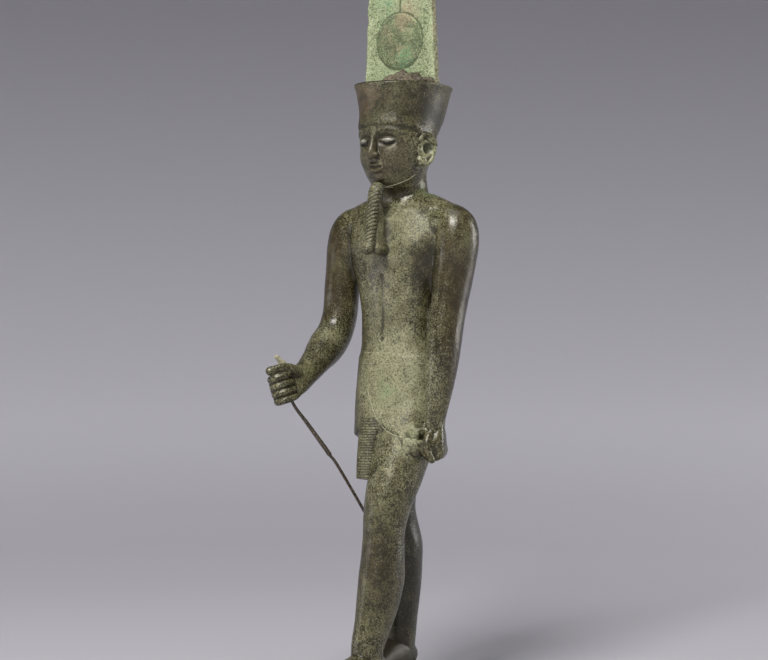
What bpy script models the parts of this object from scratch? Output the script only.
"""Amun-Ra, a striding bronze statuette: the figure with its flat crown and low base, the double plume
with a sun disc that is let into the crown, the bent sceptre rod in the right fist and two eye inlays.

Metres, +Z up. The figure faces -Y and its left side is +X. The origin is the middle of the base's
underside. The free forms are drawn in millimetres from the sole of the foot, at the drawn height, and
grow with FIGURE_HEIGHT.
"""

import math

import bmesh
import bpy
import numpy as np
from mathutils import Matrix, Vector

# Driving dimensions, in metres
FIGURE_HEIGHT = 0.180  # sole to the crown's flat top
BASE_THICKNESS = 0.007
BASE_MARGIN = 0.0065  # base left free around the feet
BASE_BEVEL = 0.0009
PLUME_HEIGHT = 0.063  # above the crown's top
PLUME_WIDTH = 0.0270  # both feathers, at the crown
PLUME_TOP_WIDTH = 0.0218  # both feathers, where the rounded tips start
PLUME_THICKNESS = 0.0023
PLUME_SPLIT = 0.0011  # width of the groove between the feathers
SLOT_DEPTH = 0.0012  # how deep the plume's foot is let into the crown
SEAT_GAP = 0.0003  # between pieces that touch
WELD = 0.00001
DISC_RADIUS = 0.0084
DISC_RISE = 0.0012
DISC_LIFT = 0.0125  # disc centre above the crown's top
ROD_RADIUS = 0.0006  # between the fist and the knee
ROD_THIN_RADIUS = 0.00047  # in the fist and at the worn end
ROD_STUB = 0.0032  # rod that stands out above the fist
EYE_HALF_WIDTH = 0.0020
EYE_HALF_HEIGHT = 0.00075
EYE_HALF_DEPTH = 0.00075
FIGURE_TRIANGLES = 8000

# The free forms' drawn scale
DRAWN_HEIGHT = 180.0  # the height, in drawn millimetres, that every station below belongs to
GROW = FIGURE_HEIGHT / DRAWN_HEIGHT  # metres for one drawn millimetre

# Stations are (x, y, z, half-width across, half-depth), in drawn millimetres
TORSO = [
    (0, 0.6, 76, 12.0, 9.6),
    (0, 0.9, 84, 13.0, 10.4),
    (0, 0.6, 93, 12.8, 9.7),
    (0, 0.1, 100, 12.6, 9.2),
    (0, -0.1, 106, 12.5, 9.0),
    (0, -0.1, 111, 12.6, 9.0),
    (0, 0.1, 117, 13.8, 9.5),
    (0, 0.4, 123, 15.6, 10.2),
    (0, 0.6, 129, 17.3, 10.5),
    (0, 1.0, 134, 18.0, 10.0),
    (0, 1.5, 138, 17.0, 9.0),
    (0, 2.0, 141.5, 13.6, 7.8),
    (0, 2.3, 144.5, 9.4, 7.0),
]
GIRDLE = [
    (-18.6, 1.6, 137.0, 6.0, 6.1),
    (-14.0, 1.9, 138.4, 6.6, 6.5),
    (-8.0, 2.3, 140.4, 6.9, 6.7),
    (0.0, 2.4, 141.3, 7.0, 6.8),
    (8.0, 2.3, 140.4, 6.9, 6.7),
    (14.0, 1.9, 138.4, 6.6, 6.5),
    (18.6, 1.6, 137.0, 6.0, 6.1),
]
NECK = [
    (0, 2.6, 138, 8.4, 6.4),
    (0, 2.4, 143, 8.0, 7.2),
    (0, 2.0, 147, 7.5, 7.4),
    (0, 1.4, 151, 7.4, 7.6),
    (0, 0.8, 156, 7.6, 8.0),
]
HEAD = [
    (0, -8.4, 148.6, 3.4, 3.4),
    (0, -7.4, 149.8, 5.7, 5.8),
    (0, -5.6, 152.2, 8.3, 8.4),
    (0, -3.9, 155.4, 9.8, 10.3),
    (0, -2.3, 159.0, 10.7, 11.8),
    (0, -1.4, 163.0, 11.1, 12.6),
    (0, -0.9, 167.0, 11.1, 13.1),
    (0, -0.6, 171.0, 10.8, 12.8),
    (0, -0.4, 175.0, 9.4, 11.0),
]
CROWN = [
    (0, 0.6, 158.5, 9.9, 10.4),
    (0, -0.4, 162.5, 11.2, 12.9),
    (0, -0.5, 166.0, 11.6, 13.8),
    (0, 0.0, 169.0, 12.0, 14.2),
    (0, 0.9, 173.0, 12.7, 14.9),
    (0, 1.4, 177.0, 13.5, 15.7),
    (0, 1.6, 180.0, 14.5, 16.6),
]
LEFT_LEG = [
    (6.5, 0.2, 88, 6.6, 8.0),
    (6.4, -1.6, 80, 8.0, 9.2),
    (6.0, -4.8, 72, 8.5, 9.2),
    (5.6, -8.6, 63, 8.2, 8.5),
    (5.2, -12.0, 55, 7.3, 7.7),
    (5.0, -13.9, 48.5, 6.5, 7.0),
    (5.1, -14.6, 43.5, 6.2, 6.6),
    (5.1, -15.0, 37.5, 6.4, 7.1),
    (5.1, -15.7, 31, 6.5, 7.8),
    (5.0, -17.4, 24, 6.0, 7.3),
    (4.9, -19.3, 17, 5.1, 6.5),
    (4.9, -21.3, 11, 4.7, 5.7),
    (4.9, -21.6, 4, 4.4, 5.4),
]
RIGHT_LEG = [
    (-6.7, 1.8, 88, 6.6, 8.0),
    (-6.6, 2.6, 80, 7.9, 9.2),
    (-6.2, 3.6, 72, 8.1, 9.1),
    (-5.9, 4.3, 63, 7.6, 8.3),
    (-5.6, 4.5, 56, 6.9, 7.3),
    (-5.4, 4.6, 50, 6.3, 6.5),
    (-5.3, 5.9, 44, 6.2, 7.0),
    (-5.2, 7.0, 38.5, 6.6, 7.7),
    (-5.2, 7.1, 32, 6.4, 7.6),
    (-5.1, 6.8, 24, 5.7, 6.8),
    (-5.0, 6.1, 17, 5.0, 6.0),
    (-4.9, 5.8, 11, 4.6, 5.5),
    (-4.9, 5.9, 4, 4.4, 5.3),
]
LEFT_ARM = [
    (16.5, 1.8, 140.0, 4.6, 5.6),
    (20.2, 1.4, 136.2, 6.3, 6.7),
    (20.7, 1.2, 131.0, 6.4, 7.2),
    (20.3, 0.8, 125.5, 6.1, 6.9),
    (20.0, -0.4, 118.5, 5.6, 6.5),
    (19.8, -2.2, 110.5, 5.1, 6.1),
    (19.8, -3.9, 102.5, 5.0, 5.9),
    (19.6, -4.8, 96.0, 4.8, 5.6),
    (19.1, -5.6, 88.5, 4.2, 4.8),
    (18.5, -6.0, 82.0, 3.3, 3.9),
    (18.1, -6.2, 78.0, 2.8, 3.4),
    (17.8, -6.2, 74.0, 2.7, 3.6),
]
RIGHT_ARM = [
    (-16.5, 1.8, 140.0, 4.6, 5.6),
    (-19.9, 1.2, 136.2, 6.3, 6.6),
    (-20.9, 0.4, 131.0, 6.3, 6.9),
    (-21.2, -0.7, 124.5, 5.7, 6.4),
    (-21.3, -2.0, 117.5, 5.3, 6.1),
    (-21.3, -3.0, 110.0, 5.3, 5.8),
    (-21.6, -5.4, 103.9, 5.5, 5.8),
    (-20.8, -10.8, 99.7, 5.5, 5.9),
    (-19.0, -16.8, 96.3, 4.7, 4.8),
    (-17.6, -22.6, 93.2, 3.9, 4.1),
    (-16.7, -27.0, 91.2, 3.4, 3.9),
    (-16.2, -29.6, 90.0, 3.3, 3.9),
]
KILT = [
    (0, 0.3, 99.0, 12.7, 9.3),
    (0, 0.3, 96.0, 13.0, 9.7),
    (0, 0.3, 90.0, 13.0, 10.3),
    (0, 0.0, 84.0, 13.0, 10.8),
    (0, -0.5, 78.0, 13.2, 11.5),
    (0, -0.9, 72.0, 13.5, 12.1),
    (0, -1.0, 68.5, 13.6, 12.4),
]
TAB = [
    (-1.2, -8.0, 84.0, 2.5, 4.0),
    (-1.4, -9.4, 78.0, 2.7, 4.6),
    (-1.5, -11.0, 70.0, 2.8, 4.4),
    (-1.5, -12.2, 63.0, 2.7, 4.0),
    (-1.5, -12.6, 59.6, 2.6, 3.8),
]
BEARD = [
    (0, -11.0, 149.8, 2.3, 2.2),
    (0, -12.4, 147.6, 2.7, 2.4),
    (0, -13.4, 143.4, 2.4, 2.2),
    (0, -14.8, 137.6, 2.3, 2.1),
    (0, -15.8, 132.4, 2.6, 2.2),
    (0, -16.8, 129.2, 2.7, 2.1),
    (0, -18.2, 128.2, 1.7, 1.5),
]
BEARD_WEB = [
    (0.2, -9.6, 147.0, 1.1, 3.6),
    (0.3, -11.4, 140.0, 1.2, 3.6),
    (0.5, -12.0, 133.0, 1.5, 3.8),
    (0.7, -11.9, 128.8, 1.9, 3.4),
]
# One foot, from the heel's back end at y = 0
FOOT = [
    (0, 0.3, 2.9, 2.2, 2.4),
    (0, -1.4, 3.8, 3.9, 3.9),
    (0, -5.6, 5.0, 4.6, 5.2),
    (0, -10.6, 4.7, 4.6, 4.9),
    (0, -15.6, 3.4, 5.0, 3.6),
    (0, -20.4, 2.3, 5.3, 2.5),
    (0, -23.6, 1.6, 4.8, 1.8),
]
FOOT_LENGTH = 28.0
FOOT_HALF_WIDTH = 5.3
LEFT_HEEL = (4.9, -15.6)
RIGHT_HEEL = (-4.9, 11.4)
# Half-widths and reach of the five toes, from the big toe outwards
TOES = [(1.45, 28.0), (1.05, 27.3), (1.0, 26.3), (0.95, 25.2), (0.95, 23.8)]

# The kilt's hem runs low at the back and rises to the front middle, where the panels cross
HEM_BACK = 68.5
HEM_FRONT = 78.5
HEM_PEAK = 13  # how narrow the rise at the front is
BELT_TOP = 98.4
CLOTH = 0.45  # how far the kilt stands off the skin
CLOTH_REACH = 16.5  # from the axis, short of the left arm

# Fists: fingers curl in the plane across the grip, thumb on top, in (forward, palmward, along the grip)
FINGER = [
    (-1.6, -2.0, 0, 1.2, 1.2),
    (2.2, -2.5, 0, 1.25, 1.3),
    (4.3, -0.9, 0, 1.25, 1.3),
    (3.8, 1.5, 0, 1.25, 1.25),
    (1.2, 2.4, 0, 1.15, 1.1),
    (-0.6, 1.7, 0, 1.0, 1.0),
]
FINGER_STEP = 2.35
THUMB_TOP = 6.9
THUMB = [
    (-5.0, 1.6, 2.6, 1.5, 1.6),
    (-1.8, 2.2, 4.9, 1.6, 1.6),
    (1.4, 1.5, 5.9, 1.5, 1.5),
    (4.0, 0.2, 5.8, 1.25, 1.3),
    (5.0, -0.4, 5.7, 0.7, 0.8),
]
PALM = [
    (-6.0, 0.0, 0, 3.3, 2.6),
    (-3.0, -0.2, 0.1, 4.6, 2.7),
    (0.0, -0.3, 0.0, 5.1, 2.9),
    (2.6, -0.2, 0, 4.6, 2.4),
]
RIGHT_FIST = Vector((-15.8, -34.2, 88.7))
RIGHT_FOREARM = Vector((0.12, -0.86, -0.49)).normalized()
LEFT_FIST = Vector((17.5, -6.6, 71.4))
LEFT_FOREARM = Vector((-0.03, 0.02, -1.0)).normalized()
RIGHT_FIST_SCALE = 1.0
LEFT_FIST_SCALE = 0.86
GRIP = (0.9, -0.1)  # where the grip's axis crosses a fist, forward and palmward

# The remains of the ankh at the left fist
LOOP_CENTRE = Vector((14.6, -11.0, 72.8))
LOOP_HALF = (2.3, 3.0)  # across and along, to the middle of the strap
LOOP_STRAP = 0.95
LOOP_TURNS = 12
STEM = [
    (14.9, -10.2, 70.0, 0.9, 0.9),
    (16.4, -8.6, 67.6, 1.0, 0.9),
    (18.0, -6.8, 65.9, 0.8, 0.8),
]
LUMP = [
    (10.6, -12.6, 68.4, 1.3, 1.6),
    (12.2, -11.6, 69.0, 1.7, 2.1),
    (14.0, -10.8, 70.2, 1.4, 1.6),
]

EYE = Vector((4.7, -12.55, 162.4))
EYE_TURN = math.radians(24)  # the eye faces this far to the side
EAR = Vector((11.2, -0.6, 159.4))
EAR_HALF = (1.25, 2.9, 4.9)
EAR_TILT = math.radians(-8)
EAR_FLARE = math.radians(24)
NOSE = [
    (0, -13.4, 163.8, 0.8, 0.9),
    (0, -14.0, 160.6, 1.1, 1.1),
    (0, -14.5, 158.0, 1.5, 1.5),
    (0, -13.6, 156.6, 1.5, 0.9),
]
LIPS = [
    (-2.9, -11.6, 154.2, 0.4, 0.5),
    (-1.4, -12.6, 154.2, 0.8, 1.0),
    (0, -12.9, 154.2, 0.9, 1.1),
    (1.4, -12.6, 154.2, 0.8, 1.0),
    (2.9, -11.6, 154.2, 0.4, 0.5),
]

# The rod's bends after the fist, in drawn millimetres, and where its end rests by the right knee
ROD_BENDS = [(-13.7, -27.8, 77.2), (-9.9, -18.2, 64.3), (-8.7, -9.4, 52.8)]
ROD_END = (-8.4, -4.6, 46.6)
ROD_RADII = [ROD_THIN_RADIUS] * 3 + [ROD_RADIUS] * 2 + [ROD_THIN_RADIUS] * 2
ROD_STEPS = 4  # straight runs between two of its points
GRIP_EXIT = 5.6  # how far below a fist's middle the rod leaves it

COARSE_VOXEL = 0.8  # drawn millimetres
FINE_VOXEL = 0.55
BODY_SMOOTHING = 6
DETAIL_SMOOTHING = 1

FEET_FRONT = LEFT_HEEL[1] - FOOT_LENGTH
FEET_BACK = RIGHT_HEEL[1]
FEET_SIDE = LEFT_HEEL[0] + FOOT_HALF_WIDTH
BASE_LENGTH = (FEET_BACK - FEET_FRONT) * GROW + 2 * BASE_MARGIN
BASE_WIDTH = 2 * (FEET_SIDE * GROW + BASE_MARGIN)
# Moves the drawn figure's axis so that the base's middle is the origin
AXIS_BACK = -(FEET_BACK + FEET_FRONT) / 2 * GROW
CROWN_TOP = BASE_THICKNESS + FIGURE_HEIGHT
TO_ROW = Matrix.Translation((0, AXIS_BACK, BASE_THICKNESS)) @ Matrix.Scale(GROW, 4)
PLUME_BACK = AXIS_BACK + 0.9 * GROW  # the plume's middle plane

BRONZE = ("bronze", (0.17, 0.15, 0.095), 0.42, 0.75)
GREEN_BRONZE = ("green_bronze", (0.36, 0.47, 0.32), 0.8, 0.1)
BROWN_BRONZE = ("brown_bronze", (0.16, 0.11, 0.08), 0.5, 0.6)
SILVER = ("silver", (0.78, 0.77, 0.68), 0.35, 0.9)


def clear_scene():
    for obj in list(bpy.data.objects):
        bpy.data.objects.remove(obj, do_unlink=True)


def material(name, colour, roughness, metallic):
    made = bpy.data.materials.new(name)
    made.use_nodes = True
    shader = made.node_tree.nodes["Principled BSDF"]
    shader.inputs["Base Color"].default_value = (*colour, 1)
    shader.inputs["Roughness"].default_value = roughness
    shader.inputs["Metallic"].default_value = metallic
    return made


def new_object(name, bm, collection, finish=None):
    """The bmesh as an object with its normals outward."""
    bmesh.ops.recalc_face_normals(bm, faces=bm.faces)
    mesh = bpy.data.meshes.new(name)
    bm.to_mesh(mesh)
    bm.free()
    obj = bpy.data.objects.new(name, mesh)
    collection.objects.link(obj)
    if finish:
        mesh.materials.append(material(*finish))
    return obj


def smooth_rows(rows, steps):
    """Rows of numbers on a smooth curve through the given rows, with steps to each gap."""
    rows = np.array(rows, float)
    padded = np.vstack([2 * rows[0] - rows[1], rows, 2 * rows[-1] - rows[-2]])
    made = []
    for before, start, end, after in zip(padded, padded[1:], padded[2:], padded[3:]):
        for t in np.linspace(0, 1, steps, endpoint=False):
            made.append(
                start
                + 0.5 * t * (end - before)
                + t**2 * (before - 2.5 * start + 2 * end - 0.5 * after)
                + t**3 * (1.5 * start - 0.5 * before - 1.5 * end + 0.5 * after)
            )
    made.append(rows[-1])
    return made


def tube(bm, stations, side=(1, 0, 0), sides=20, steps=3, squareness=2.0):
    """Adds a closed limb, its rings square to the curve through the stations. Returns its vertices."""
    rows = smooth_rows(stations, steps)
    centres = [Vector(row[:3]) for row in rows]
    side = Vector(side)

    def ring_frame(i):
        along = (centres[min(i + 1, len(rows) - 1)] - centres[max(i - 1, 0)]).normalized()
        across = (side - along * along.dot(side)).normalized()
        frame = Matrix((across * rows[i][3], along.cross(across) * rows[i][4], along))
        frame = frame.transposed().to_4x4()
        frame.translation = centres[i]
        return frame

    ring = bmesh.ops.create_circle(bm, segments=sides, radius=1)["verts"]
    for vert in ring:
        vert.co.x = math.copysign(abs(vert.co.x) ** (2 / squareness), vert.co.x)
        vert.co.y = math.copysign(abs(vert.co.y) ** (2 / squareness), vert.co.y)
    made = list(ring)
    frame = ring_frame(0)
    bmesh.ops.transform(bm, matrix=frame, verts=ring)
    edges = list({edge for vert in ring for edge in vert.link_edges})
    bmesh.ops.contextual_create(bm, geom=edges)
    for i in range(1, len(rows)):
        extruded = bmesh.ops.extrude_edge_only(bm, edges=edges)["geom"]
        ring = [item for item in extruded if isinstance(item, bmesh.types.BMVert)]
        in_ring = set(ring)
        edges = [
            item
            for item in extruded
            if isinstance(item, bmesh.types.BMEdge) and in_ring.issuperset(item.verts)
        ]
        following = ring_frame(i)
        bmesh.ops.transform(bm, matrix=following @ frame.inverted(), verts=ring)
        frame = following
        made += ring
    bmesh.ops.contextual_create(bm, geom=edges)
    return made


def ball(bm, centre, halves, turn=Matrix.Identity(4), rings=10):
    """Adds an ellipsoid of three half-sizes. Returns its vertices."""
    shape = Matrix.Translation(centre) @ turn @ Matrix.Diagonal((*halves, 1))
    return bmesh.ops.create_uvsphere(
        bm, u_segments=2 * rings, v_segments=rings, radius=1, matrix=shape
    )["verts"]


def round_over(bm, edges, width):
    bmesh.ops.bevel(bm, geom=edges, offset=width, segments=2, affect="EDGES", profile=0.5)


def hem_height(x, y):
    """Height of the kilt's hem at each place's bearing round the hips."""
    frontness = (1 + np.cos(np.arctan2(x, -y))) / 2
    return HEM_BACK + (HEM_FRONT - HEM_BACK) * frontness * (1 + frontness**HEM_PEAK) / 2


def kilt(bm):
    """The bell of the kilt, its rings drawn up so that the last one is the hem."""
    top = KILT[0][2]
    verts = tube(bm, KILT, sides=32, squareness=2.15)
    for vert in verts:
        share = (top - vert.co.z) / (top - HEM_BACK)
        vert.co.z = top - share * (top - hem_height(vert.co.x, vert.co.y))


def fist_frame(centre, forward, thumbward, right_hand, scale):
    """Turns a fist's (forward, palmward, along the grip) into drawn places."""
    along = (thumbward - forward * forward.dot(thumbward)).normalized()
    palmward = along.cross(forward) if right_hand else forward.cross(along)
    turn = Matrix((forward, palmward, along)).transposed().to_4x4()
    return Matrix.Translation(centre) @ turn @ Matrix.Scale(scale, 4)


RIGHT_HAND = fist_frame(RIGHT_FIST, RIGHT_FOREARM, Vector((0, 0, 1)), True, RIGHT_FIST_SCALE)
LEFT_HAND = fist_frame(LEFT_FIST, LEFT_FOREARM, Vector((0, -1, 0)), False, LEFT_FIST_SCALE)


def fist(bm, frame):
    verts = tube(bm, PALM, side=(0, 0, 1), squareness=2.4)
    for i in range(4):
        lift = (1.5 - i) * FINGER_STEP
        finger = [(f, p, lift, a, b) for f, p, _, a, b in FINGER]
        verts += tube(bm, finger, side=(0, 0, 1), sides=12)
    verts += tube(bm, THUMB, side=(0, 0, 1), sides=12)
    bmesh.ops.transform(bm, matrix=frame, verts=verts)


def foot(bm, heel):
    verts = tube(bm, FOOT, squareness=2.2)
    across = FOOT_HALF_WIDTH * math.copysign(1, heel[0])
    reach = 0.0
    for half, tip in TOES:
        x = across * (0.74 - reach) * -1
        verts += tube(
            bm,
            [
                (x, 4.0 - tip, 1.2, half, half * 1.1),
                (x, 1.6 - tip, 1.2, half, half * 1.1),
                (x, -tip + 0.3, 1.0, half * 0.7, half * 0.7),
            ],
            sides=12,
        )
        reach += 0.39 if half > 1.2 else 0.34
    bmesh.ops.translate(bm, vec=(*heel, 0), verts=verts)


def ear(bm, sign):
    turn = Matrix.Rotation(-sign * EAR_FLARE, 4, "Z") @ Matrix.Rotation(EAR_TILT, 4, "X")
    ball(bm, (sign * EAR.x, EAR.y, EAR.z), EAR_HALF, turn)


def ankh_remains(bm):
    """The ankh's loop, its broken stem under the fist and the lump that ties it to the thigh."""
    loop = []
    for i in range(LOOP_TURNS + 1):
        angle = 2 * math.pi * i / LOOP_TURNS
        loop.append(
            (
                LOOP_CENTRE.x + LOOP_HALF[0] * math.sin(angle),
                LOOP_CENTRE.y + 0.5 * math.sin(angle),
                LOOP_CENTRE.z + LOOP_HALF[1] * math.cos(angle),
                LOOP_STRAP,
                LOOP_STRAP,
            )
        )
    tube(bm, loop, side=(0, 1, 0), sides=10, steps=2)
    tube(bm, STEM, sides=10)
    tube(bm, LUMP, side=(0, 0, 1), sides=12)


def remeshed(obj, voxel, smoothing):
    """Replaces the object's overlapping shells with one even skin, softened a little."""
    fuse = obj.modifiers.new("fuse", "REMESH")
    fuse.mode = "VOXEL"
    fuse.voxel_size = voxel
    soften = obj.modifiers.new("soften", "SMOOTH")
    soften.factor = 0.5
    soften.iterations = smoothing
    bake(obj)


def bake(obj):
    """Makes the object's modifiers part of its mesh."""
    graph = bpy.context.evaluated_depsgraph_get()
    mesh = bpy.data.meshes.new_from_object(obj.evaluated_get(graph))
    obj.modifiers.clear()
    obj.data = mesh


def drape_cloth(obj):
    """Lifts the skin between belt and hem, so that the kilt stands off it with an edge."""
    mesh = obj.data
    points = np.empty(len(mesh.vertices) * 3)
    normals = np.empty(len(mesh.vertices) * 3)
    mesh.vertices.foreach_get("co", points)
    mesh.vertex_normals.foreach_get("vector", normals)
    points = points.reshape(-1, 3)
    x, y, z = points.T
    in_cloth = (z < BELT_TOP) & (np.hypot(x, y) < CLOTH_REACH)
    lift = CLOTH * in_cloth * np.clip((z - hem_height(x, y)) / FINE_VOXEL, 0, 1)
    points += normals.reshape(-1, 3) * lift[:, None]
    mesh.vertices.foreach_set("co", points.ravel())
    mesh.update()


def body(collection):
    """The smooth masses: trunk, head, limbs and the kilt over them."""
    bm = bmesh.new()
    tube(bm, TORSO, sides=32, squareness=2.3)
    tube(bm, GIRDLE, side=(0, 1, 0), sides=24)
    tube(bm, NECK, sides=24)
    tube(bm, HEAD, sides=28, squareness=2.15)
    for limb in (LEFT_LEG, RIGHT_LEG, LEFT_ARM, RIGHT_ARM):
        tube(bm, limb, sides=24)
    kilt(bm)
    obj = new_object("body", bm, collection)
    remeshed(obj, COARSE_VOXEL, BODY_SMOOTHING)
    drape_cloth(obj)
    return obj


def details(bm):
    """What keeps a crisp shape: crown, beard, face, ears, fists, feet, the kilt's tab and the ankh."""
    tube(bm, CROWN, sides=40, steps=4, squareness=2.05)
    tube(bm, TAB, squareness=3.2)
    tube(bm, BEARD, sides=14)
    tube(bm, BEARD_WEB, sides=12)
    tube(bm, NOSE, sides=12)
    tube(bm, LIPS, side=(0, 0, 1), sides=12)
    for sign in (-1, 1):
        ear(bm, sign)
    fist(bm, RIGHT_HAND)
    fist(bm, LEFT_HAND)
    foot(bm, LEFT_HEEL)
    foot(bm, RIGHT_HEEL)
    ankh_remains(bm)


def rod_path():
    """The rod's line in drawn millimetres, from the stub above the right fist to the knee."""
    over = Vector((*GRIP, THUMB_TOP + ROD_STUB / GROW / RIGHT_FIST_SCALE))
    under = Vector((*GRIP, -GRIP_EXIT))
    inside = [RIGHT_HAND @ point for point in (over, Vector((*GRIP, 0)), under)]
    return inside + [Vector(point) for point in ROD_BENDS] + [Vector(ROD_END)]


def rod_curve(name, path, radii, collection):
    """A round rod along the path, as a curve with a bevel. The radii are in metres, one to a point."""
    rows = smooth_rows([(*point, radius) for point, radius in zip(path, radii)], ROD_STEPS)
    data = bpy.data.curves.new(name, "CURVE")
    data.dimensions = "3D"
    data.bevel_depth = 1
    data.bevel_resolution = 2
    data.use_fill_caps = True
    spline = data.splines.new("POLY")
    spline.points.add(len(rows) - 1)
    for point, (x, y, z, radius) in zip(spline.points, rows):
        point.co = (*(TO_ROW @ Vector((x, y, z))), 1)
        point.radius = radius
    obj = bpy.data.objects.new(name, data)
    collection.objects.link(obj)
    return obj


def cut(obj, cutter):
    """Takes the cutter's shape out of the object."""
    hollow = obj.modifiers.new("cut", "BOOLEAN")
    hollow.operation = "DIFFERENCE"
    hollow.solver = "EXACT"
    hollow.object = cutter
    bake(obj)


def cutter(name, bm, helpers):
    obj = new_object(name, bm, helpers)
    obj.hide_render = True
    obj.display_type = "WIRE"
    return obj


def base_block(collection):
    """The low base under both feet, a little bevelled."""
    bm = bmesh.new()
    size = Matrix.Diagonal((BASE_WIDTH, BASE_LENGTH, BASE_THICKNESS, 1))
    bmesh.ops.create_cube(bm, size=1, matrix=Matrix.Translation((0, 0, BASE_THICKNESS / 2)) @ size)
    upper = [edge for edge in bm.edges if sum(v.co.z for v in edge.verts) > BASE_THICKNESS * 0.9]
    round_over(bm, upper, BASE_BEVEL)
    return new_object("base", bm, collection)


def figure(collection, helpers):
    """The one casting: body, crown, kilt, ankh remains and base."""
    obj = body(collection)
    obj.name = "figure"
    bm = bmesh.new()
    details(bm)
    bm.from_mesh(obj.data)
    bm.to_mesh(obj.data)
    bm.free()
    remeshed(obj, FINE_VOXEL, DETAIL_SMOOTHING)
    thin = obj.modifiers.new("thin", "DECIMATE")
    thin.ratio = FIGURE_TRIANGLES / sum(len(face.vertices) - 2 for face in obj.data.polygons)
    bake(obj)
    obj.data.transform(TO_ROW)
    base = base_block(helpers)
    join = obj.modifiers.new("base", "BOOLEAN")
    join.operation = "UNION"
    join.solver = "EXACT"
    join.object = base
    bake(obj)
    bpy.data.objects.remove(base)
    obj.data.materials.append(material(*BRONZE))
    for tool in (level_cutter(helpers), slot_cutter(helpers), grip_cutter(helpers)):
        cut(obj, tool)
    for sign in (-1, 1):
        cut(obj, eye("eye_socket", sign, SEAT_GAP, helpers, None))
    return obj


def level_cutter(helpers):
    """Shaves the crown's top to a true flat."""
    bm = bmesh.new()
    span = 0.06
    place = Matrix.Translation((0, AXIS_BACK, CROWN_TOP + span / 2 - SEAT_GAP))
    bmesh.ops.create_cube(bm, size=span, matrix=place)
    return cutter("crown_level", bm, helpers)


def slot_cutter(helpers):
    """The slot in the crown that takes the plume's foot."""
    bm = bmesh.new()
    width = PLUME_WIDTH + 2 * SEAT_GAP
    thickness = PLUME_THICKNESS + 2 * SEAT_GAP
    height = 2 * (SLOT_DEPTH + SEAT_GAP)
    place = Matrix.Translation((0, PLUME_BACK, CROWN_TOP))
    bmesh.ops.create_cube(bm, size=1, matrix=place @ Matrix.Diagonal((width, thickness, height, 1)))
    return cutter("plume_slot", bm, helpers)


def grip_cutter(helpers):
    """The way that the rod takes through the right fist, and clear of the knee."""
    path = rod_path()
    path[0] += (path[0] - path[1]).normalized()
    path[-1] += (path[-1] - path[-2]).normalized()
    wide = [radius + SEAT_GAP for radius in ROD_RADII]
    curve = rod_curve("grip_line", path, wide, helpers)
    graph = bpy.context.evaluated_depsgraph_get()
    bm = bmesh.new()
    bm.from_mesh(bpy.data.meshes.new_from_object(curve.evaluated_get(graph)))
    bmesh.ops.remove_doubles(bm, verts=bm.verts, dist=WELD)
    bpy.data.objects.remove(curve)
    return cutter("grip_hole", bm, helpers)


def eye(name, sign, grown, collection, finish):
    """An eye inlay, a flat almond lens, or its socket where it is grown."""
    bm = bmesh.new()
    halves = (EYE_HALF_WIDTH + grown, EYE_HALF_DEPTH + grown, EYE_HALF_HEIGHT + grown)
    place = TO_ROW @ Vector((sign * EYE.x, EYE.y, EYE.z))
    ball(bm, place, halves, Matrix.Rotation(sign * EYE_TURN, 4, "Z"), rings=8)
    if finish:
        return new_object(name, bm, collection, finish)
    return cutter(name, bm, collection)


def plume_outline():
    """Half of the pair's outline, from the foot's outer corner over the rounded tip to the split."""
    foot_z = CROWN_TOP - SLOT_DEPTH
    shoulder = CROWN_TOP + PLUME_HEIGHT - PLUME_TOP_WIDTH / 4
    half_top = PLUME_TOP_WIDTH / 2
    points = [(PLUME_WIDTH / 2, foot_z), (PLUME_WIDTH / 2, CROWN_TOP), (half_top, shoulder)]
    middle = (half_top + PLUME_SPLIT / 2) / 2
    reach = half_top - middle
    for i in range(1, 12):
        angle = math.pi * i / 12
        points.append((middle + reach * math.cos(angle), shoulder + PLUME_TOP_WIDTH / 4 * math.sin(angle)))
    points.append((PLUME_SPLIT / 2, shoulder))
    points.append((PLUME_SPLIT / 2, shoulder - PLUME_TOP_WIDTH / 2))
    return points


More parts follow.
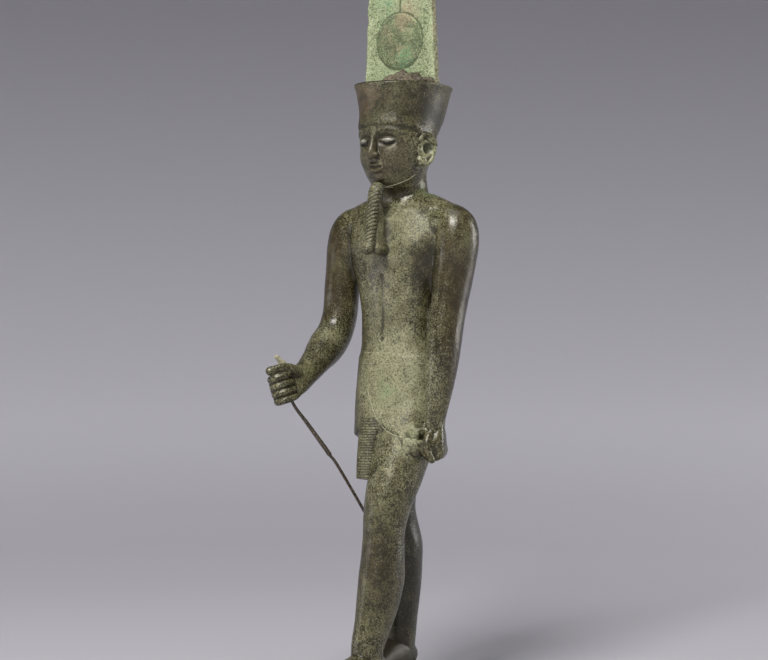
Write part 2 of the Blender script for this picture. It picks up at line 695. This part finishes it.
def double_plume(collection):
    """Two tall feathers side by side in one slab, with a sun disc on the front."""
    right = plume_outline()
    bm = bmesh.new()
    front = PLUME_BACK - PLUME_THICKNESS / 2
    corners = right + [(-x, z) for x, z in reversed(right)]
    verts = [bm.verts.new((x, front, z)) for x, z in corners]
    face = bm.faces.new(verts)
    slab = bmesh.ops.extrude_face_region(bm, geom=[face])["geom"]
    moved = [item for item in slab if isinstance(item, bmesh.types.BMVert)]
    bmesh.ops.translate(bm, vec=(0, PLUME_THICKNESS, 0), verts=moved)
    bmesh.ops.triangulate(bm, faces=bm.faces)
    obj = new_object("double_plume", bm, collection, GREEN_BRONZE)
    disc = sun_disc(front)
    join = obj.modifiers.new("disc", "BOOLEAN")
    join.operation = "UNION"
    join.solver = "EXACT"
    join.object = disc
    bake(obj)
    bpy.data.objects.remove(disc)
    return obj


def sun_disc(front):
    """The sun disc, a shallow lens standing off the feathers' front."""
    bm = bmesh.new()
    depth = DISC_RISE + PLUME_THICKNESS / 2
    turn = Matrix.Translation((0, front + PLUME_THICKNESS / 2, CROWN_TOP + DISC_LIFT)) @ Matrix.Rotation(
        math.radians(90), 4, "X"
    )
    made = bmesh.ops.create_cone(
        bm, cap_ends=True, segments=40, radius1=DISC_RADIUS, radius2=DISC_RADIUS, depth=depth
    )["verts"]
    bmesh.ops.translate(bm, vec=(0, 0, depth / 2), verts=made)
    rim = [edge for edge in bm.edges if all(v.co.z > depth / 2 for v in edge.verts)]
    round_over(bm, rim, DISC_RISE / 2)
    bmesh.ops.transform(bm, matrix=turn, verts=bm.verts)
    return new_object("disc", bm, bpy.context.scene.collection)


def sceptre_rod(collection):
    """The bent rod, which runs through the right fist and ends by the right knee."""
    obj = rod_curve("sceptre_rod", rod_path(), ROD_RADII, collection)
    obj.data.materials.append(material(*BROWN_BRONZE))
    return obj


def main():
    clear_scene()
    statue = bpy.data.collections.new("amun_ra_statue")
    helpers = bpy.data.collections.new("cutters")
    for collection in (statue, helpers):
        bpy.context.scene.collection.children.link(collection)
    made = figure(statue, helpers)
    made.data.shade_smooth()
    double_plume(statue)
    sceptre_rod(statue)
    eye("left_eye_inlay", 1, 0, statue, SILVER)
    eye("right_eye_inlay", -1, 0, statue, SILVER)


main()
